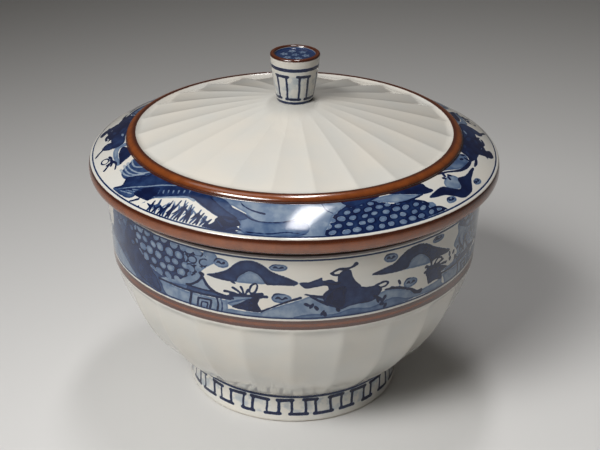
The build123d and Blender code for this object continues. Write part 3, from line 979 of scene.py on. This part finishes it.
def make_lid_knob():
    base = (knob_base_radius, dome_top)
    waist = (knob_rim_radius - 0.25, knob_top - knob_rim_height)
    rim = (knob_rim_radius, knob_top)
    lip_inner = (knob_rim_radius - knob_lip, knob_top)
    recess = (lip_inner[0] - 0.2, knob_top - knob_recess)
    rim_arc = rounded(waist, rim, lip_inner, 0.62, 6)
    outline = run((0, dome_top), base, step=1.8) + run(base, waist, -0.12, step=0.28)
    outline += run(waist, rim_arc[0], step=0.3) + rim_arc + rounded(rim, lip_inner, recess, 0.3, 3)
    outline += run(recess, (0, recess[1]), step=0.3) + [(0.0, recess[1])]
    piece = Turned(with_columns(outline, KNOB))

    v = piece.along - piece.along_at(*base)
    band = Band(piece, knob_band_radius, v, (0.6, 11.0), repeats=1, wobble=0.05)
    draw_fret(band, uprights=12, first=-2.3, low=1.8, high=9.3, width=0.64, overshoot=0.5)
    draw_knob_flowers(piece, band, recess)
    band.store(KNOB_LAYERS)
    return piece.build("lid_knob_glazed")


def draw_knob_flowers(piece, band, recess):
    """Small pale blossoms on the blue top of the knob: one in the middle and a ring of them round it."""
    top = piece.along > piece.along_at(*recess) - 0.2
    x = piece.radius * np.sin(piece.theta)
    y = piece.radius * np.cos(piece.theta)
    ring_radius = 3.3
    ring = np.arange(6) * FULL_TURN / 6 + 0.3
    centres = [(0.0, 0.0)] + [(ring_radius * math.sin(a), ring_radius * math.cos(a)) for a in ring]
    best = np.full(len(x), FAR)
    for cx, cy in centres:
        reach = np.hypot(x - cx, y - cy)
        angle = np.arctan2(y - cy, x - cx)
        best = np.minimum(best, reach - 0.95 - 0.3 * np.cos(5 * angle + cx))
        best = np.maximum(best, 0.28 - reach)
    band.layers["pale"][top] = best[top]


# ================================================================ materials
class Nodes:
    """Short ways to add and join shader nodes."""

    def __init__(self, name):
        self.material = bpy.data.materials.new(name)
        self.material.use_nodes = True
        self.tree = self.material.node_tree
        self.shader = self.tree.nodes["Principled BSDF"]

    def add(self, kind, inputs=None, **settings):
        node = self.tree.nodes.new(kind)
        for key, value in settings.items():
            setattr(node, key, value)
        for key, value in (inputs or {}).items():
            self.link(value, node.inputs[key])
        return node

    def link(self, value, socket):
        if isinstance(value, bpy.types.NodeSocket):
            self.tree.links.new(value, socket)
        else:
            socket.default_value = value

    def math(self, operation, *values, clamp=False):
        node = self.add("ShaderNodeMath", operation=operation, use_clamp=clamp)
        for i, value in enumerate(values):
            self.link(value, node.inputs[i])
        return node.outputs[0]

    def attribute(self, name):
        return self.add("ShaderNodeAttribute", attribute_name=name).outputs["Fac"]

    def noise(self, scale, detail=2.0, seed=0.0):
        """Noise from 0 to 1. scale is in features per metre."""
        place = self.add("ShaderNodeTexCoord").outputs["Object"]
        node = self.add("ShaderNodeTexNoise", {"Vector": place, "Scale": scale, "Detail": detail, "W": seed},
                        noise_dimensions="4D")
        return node.outputs["Fac"]

    def ramp(self, value, low, high, to_low=0.0, to_high=1.0):
        """Smoothly from to_low, where value is low, to to_high, where it is high."""
        node = self.add("ShaderNodeMapRange", interpolation_type="SMOOTHSTEP")
        keys = ("Value", "From Min", "From Max", "To Min", "To Max")
        for key, number in zip(keys, (value, low, high, to_low, to_high)):
            self.link(number, node.inputs[key])
        return node.outputs["Result"]

    def mix(self, share, a, b, blend="MIX"):
        node = self.add("ShaderNodeMix", data_type="RGBA", blend_type=blend)
        for key, value in (("Factor", share), ("A", a), ("B", b)):
            self.link(value, node.inputs[key])
        return node.outputs["Result"]

    def most(self, values):
        """The largest of the values at each point."""
        top = values[0]
        for value in values[1:]:
            top = self.math("MAXIMUM", top, value)
        return top


GLAZE = (0.64, 0.61, 0.55, 1.0)
GLAZE_COOL = (0.595, 0.59, 0.555, 1.0)
# GAP_SHADE_BLACK is painted shade: the very dark colour that stands for the shadow in the gap under the lid's
# edge.
GAP_SHADE_BLACK = (0.012, 0.006, 0.004, 1.0)
IRON_DARK = (0.052, 0.008, 0.001, 1.0)
# IRON_HIGHLIT is the iron brown lightened by a painted highlight, for the middle of a rounded iron edge.
IRON_HIGHLIT = (0.225, 0.053, 0.006, 1.0)
CLAY = (0.52, 0.44, 0.33, 1.0)
# The share of red, green and blue that one full layer of cobalt lets through.
COBALT_THROUGH = (0.005, 0.018, 0.092)
# For each layer: its strength, how far that varies, what pools at its edge, and how soft the edge is.
PAINTS = {
    "wash": (0.01, 0.08, 0.02, 0.30),
    "pale": (0.26, 0.07, 0.10, 0.16),
    "mid": (0.40, 0.09, 0.12, 0.15),
    "deep": (0.62, 0.13, 0.14, 0.13),
    "dark": (0.84, 0.13, 0.20, 0.10),
    "ink": (1.08, 0.12, 0.00, 0.10),
}
GLASS_IOR = 1.52
IRON_LUSTRE = 0.42
BLACK_MATT = -0.4


class Porcelain(Nodes):
    """Nodes of a glazed porcelain, with the noises that its paint and its glaze share."""

    def __init__(self, name):
        super().__init__(name)
        self.fine = self.noise(2600.0, 3.0)
        self.broad = self.noise(330.0, 3.0, 3.1)
        self.cloud = self.noise(70.0, 2.0, 7.7)
        self.tremble = self.math("MULTIPLY", self.math("SUBTRACT", self.noise(900.0, 2.0, 1.7), 0.5), 0.34)
        self.across = self.math("ADD", self.attribute("across"), self.math("MULTIPLY", self.tremble, 0.45))

    def zone(self, low, high, soft=0.12):
        """1 between two places across the piece."""
        above = self.ramp(self.across, low - soft, low + soft)
        below = self.ramp(self.across, high + soft, high - soft)
        return self.math("MULTIPLY", above, below)

    def edge(self, layer):
        """The distance to the edge of a painted layer, made to tremble."""
        return self.math("ADD", self.attribute("paint_" + layer), self.tremble)

    def painted(self, layers):
        """Cobalt laid on by brush, stronger where it pools inside the edge of a stroke."""
        amounts = []
        for layer, (strength, swing, pool, soft) in PAINTS.items():
            if layer in layers:
                edge = self.edge(layer)
                amount = self.ramp(self.broad, 0.3, 0.7, strength - swing, strength + swing)
                amount = self.math("ADD", amount, self.ramp(edge, -0.8, -0.1, 0.0, pool))
                amounts.append(self.math("MULTIPLY", amount, self.ramp(edge, soft, -soft)))
        cobalt = self.most(amounts)
        if "reserve" in layers:
            kept = self.ramp(self.edge("reserve"), -0.1, 0.1, 0.3, 1.0)
            drawn = self.ramp(self.edge("ink"), 0.08, -0.08, 0.0, 0.85)
            cobalt = self.most([self.math("MULTIPLY", cobalt, kept), drawn])
        return cobalt

    def washed(self, low, high):
        """Cobalt brushed over a whole zone, thinner on the petals of the pale layer."""
        petals = self.ramp(self.attribute("paint_pale"), 0.06, -0.06, 1.0, 0.28)
        amount = self.math("MULTIPLY", self.math("MULTIPLY_ADD", self.broad, 0.3, 0.62), self.zone(low, high))
        return self.math("MULTIPLY", amount, petals)

    def lined(self, place, half_width, strength, soft=0.1):
        """Cobalt in a line round the piece."""
        off = self.math("ABSOLUTE", self.math("SUBTRACT", self.across, place))
        line = self.ramp(off, half_width + soft, half_width - soft)
        return self.math("MULTIPLY", line, self.ramp(self.broad, 0.2, 0.7, strength * 0.75, strength))

    def stained(self, glaze, cobalt):
        """The glaze's colour over that much cobalt."""
        stain = self.add("ShaderNodeCombineColor")
        for channel, through in zip(("Red", "Green", "Blue"), COBALT_THROUGH):
            self.link(self.math("POWER", through, cobalt), stain.inputs[channel])
        return self.mix(1.0, glaze, stain.outputs["Color"], "MULTIPLY")

    def iron(self, low, high):
        """The brown of an iron-dressed edge: dark along its sides, and lighter along its middle with a
        painted highlight that random wear makes patchy.
        """
        rim = self.math("MINIMUM", self.math("SUBTRACT", self.across, low),
                        self.math("SUBTRACT", high, self.across))
        # painted highlight: the middle of the edge, away from its sides, is lightened towards IRON_HIGHLIT,
        # more or less at random
        highlit_and_worn = self.math("MULTIPLY", self.ramp(rim, 0.4, 1.9), self.ramp(self.broad, 0.3, 0.7, 0.65, 1.0))
        highlit_and_worn = self.math("ADD", highlit_and_worn, self.ramp(self.fine, 0.3, 0.7, -0.06, 0.06), clamp=True)
        return self.mix(highlit_and_worn, IRON_DARK, IRON_HIGHLIT)


def porcelain(name, layers, lines=(), iron=(), washes=(), gap_shade=None, clay_below=None):
    """Clear-glazed porcelain painted under the glaze in cobalt, with iron-brown edges.

    layers are the painted layers that the mesh carries. lines are (place, half width, strength) across the
    piece. iron and washes are (low, high) zones across it. black is a zone of painted shade, very dark and
    less glossy, for the shadow in the gap under the lid's edge.
    Below clay_below the foot is bare."""
    nodes = Porcelain(name)
    surface = nodes.shader.inputs
    cobalt = nodes.most([nodes.painted(layers)] + [nodes.washed(*zone) for zone in washes]
                        + [nodes.lined(*line) for line in lines])
    colour = nodes.mix(nodes.ramp(nodes.cloud, 0.3, 0.7), GLAZE, GLAZE_COOL)
    colour = nodes.stained(colour, cobalt)
    roughness = nodes.ramp(nodes.broad, 0.2, 0.8, 0.07, 0.12)
    relief = nodes.math("MULTIPLY_ADD", nodes.broad, 0.05, nodes.math("MULTIPLY", nodes.cloud, 0.5))
    surface["IOR"].default_value = GLASS_IOR

    covers = [nodes.zone(*zone) for zone in iron]
    for cover, zone in zip(covers, iron):
        colour = nodes.mix(cover, colour, nodes.iron(*zone))
    if covers:
        brown = nodes.most(covers)
        lustre = brown
        if gap_shade is not None:
            # painted shade: the black zone is made very dark and less glossy, for the shadow in the gap under
            # the lid's edge
            painted_gap_shade = nodes.zone(*gap_shade)
            colour = nodes.mix(painted_gap_shade, colour, GAP_SHADE_BLACK)
            lustre = nodes.math("SUBTRACT", brown, painted_gap_shade, clamp=True)
            matt = nodes.math("MULTIPLY", painted_gap_shade, BLACK_MATT)
            nodes.link(nodes.math("ADD", matt, 0.5), surface["Specular IOR Level"])
        nodes.link(nodes.math("MULTIPLY_ADD", lustre, IRON_LUSTRE, GLASS_IOR), surface["IOR"])
        grain = nodes.math("MULTIPLY", nodes.noise(1500.0, 2.0, 9.0), brown)
        relief = nodes.math("ADD", relief, nodes.math("MULTIPLY", grain, 0.10))
        roughness = nodes.math("ADD", roughness, nodes.math("MULTIPLY", brown, 0.06))
    if clay_below is not None:
        bare = nodes.ramp(nodes.across, clay_below + 0.1, clay_below - 0.1)
        colour = nodes.mix(bare, colour, nodes.mix(nodes.ramp(nodes.fine, 0.3, 0.7), CLAY, GLAZE))
        roughness = nodes.math("ADD", roughness, nodes.math("MULTIPLY", bare, 0.45))

    bump = nodes.add("ShaderNodeBump", {"Strength": 0.25, "Distance": 0.0004, "Height": relief})
    nodes.link(colour, surface["Base Color"])
    nodes.link(roughness, surface["Roughness"])
    nodes.link(bump.outputs["Normal"], surface["Normal"])
    return nodes.material


bowl_body = make_bowl_body()
# The black zone at the top of the bowl's wall is painted shade, for the shadow in the gap under the lid's
# edge.
bowl_body.data.materials.append(porcelain(
    "bowl_porcelain", SCENE_LAYERS,
    lines=((0.0, 0.24, 0.98), (18.85, 0.26, 1.0)), iron=((-3.9, -0.9), (19.5, 24.4)), gap_shade=(20.1, 22.3)))

foot_ring = make_foot_ring()
foot_ring.data.materials.append(porcelain(
    "foot_porcelain", FRET_LAYERS, lines=((8.95, 0.34, 1.05),), clay_below=0.5))

lid_shell = make_lid_shell()
lid_shell.data.materials.append(porcelain(
    "lid_porcelain", SCENE_LAYERS,
    lines=((0.05, 0.22, 1.0),), iron=((-8.4, -1.0), (11.3, 15.5))))

lid_knob = make_lid_knob()
lid_knob.data.materials.append(porcelain(
    "knob_porcelain", KNOB_LAYERS,
    lines=((0.45, 0.40, 1.05), (11.4, 0.50, 1.08)), iron=((14.1, 16.2),), washes=((16.3, 30.0),)))

for piece, node, body in ((bowl_body, "bowl_body", "bowl"), (foot_ring, "foot_ring", "bowl"),
                          (lid_shell, "lid_shell", "lid"), (lid_knob, "lid_knob", "lid")):
    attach(piece, body)
    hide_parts(node)


# ================================================================ floor, light and camera
def make_floor():
    bpy.ops.mesh.primitive_plane_add(size=6.0, location=(0.0, 0.0, -0.0001))
    floor = bpy.context.active_object
    floor.name = "floor"
    nodes = Nodes("pale_floor")
    nodes.shader.inputs["Base Color"].default_value = (0.61, 0.61, 0.605, 1.0)
    nodes.shader.inputs["Roughness"].default_value = 0.75
    floor.data.materials.append(nodes.material)


def make_light(name, place, target, size, power, colour, spread):
    """A rectangular lamp at place that faces target. Its light keeps within spread, in degrees."""
    lamp = bpy.data.lights.new(name, "AREA")
    lamp.shape = "RECTANGLE"
    lamp.size, lamp.size_y = size
    lamp.energy = power
    lamp.color = colour
    lamp.spread = math.radians(spread)
    holder = bpy.data.objects.new(name, lamp)
    holder.location = place
    toward = np.array(target) - np.array(place)
    holder.rotation_euler = Vector(toward).to_track_quat("-Z", "Y").to_euler()
    bpy.context.scene.collection.objects.link(holder)


def make_camera(place, looks_down, leans, focal_length):
    """A camera at place that faces +Y, turned down and then rolled by so many degrees."""
    data = bpy.data.cameras.new("camera")
    data.sensor_width = 36.0
    data.lens = focal_length
    camera = bpy.data.objects.new("camera", data)
    camera.location = place
    tilt = Euler((math.radians(90 - looks_down), 0, 0)).to_matrix()
    camera.rotation_euler = (tilt @ Euler((0, 0, math.radians(leans))).to_matrix()).to_euler()
    bpy.context.scene.collection.objects.link(camera)
    bpy.context.scene.camera = camera


make_floor()
make_camera((0.0019, -0.3955, 0.2458), looks_down=26.16, leans=0.5, focal_length=84.1)
make_light("key", (-0.44, -0.57, 0.69), (-0.018, -0.118, 0.0), (0.45, 0.45), 0.94, (1.0, 0.985, 0.96), 44)
make_light("strip", (0.045, 0.19, 1.0), (0.0, -0.05, 0.08), (0.1, 0.38), 0.24, (1.0, 0.98, 0.98), 55)
make_light("overhead", (-0.34, 0.20, 1.0), (-0.02, -0.03, 0.08), (0.45, 0.45), 0.08, (0.97, 0.98, 1.0), 60)

world = bpy.data.worlds.new("world")
bpy.context.scene.world = world
world.use_nodes = True
background = world.node_tree.nodes["Background"].inputs
background["Color"].default_value = (0.95, 0.89, 0.82, 1.0)
background["Strength"].default_value = 0.085
bpy.context.scene.view_settings.view_transform = "Standard"
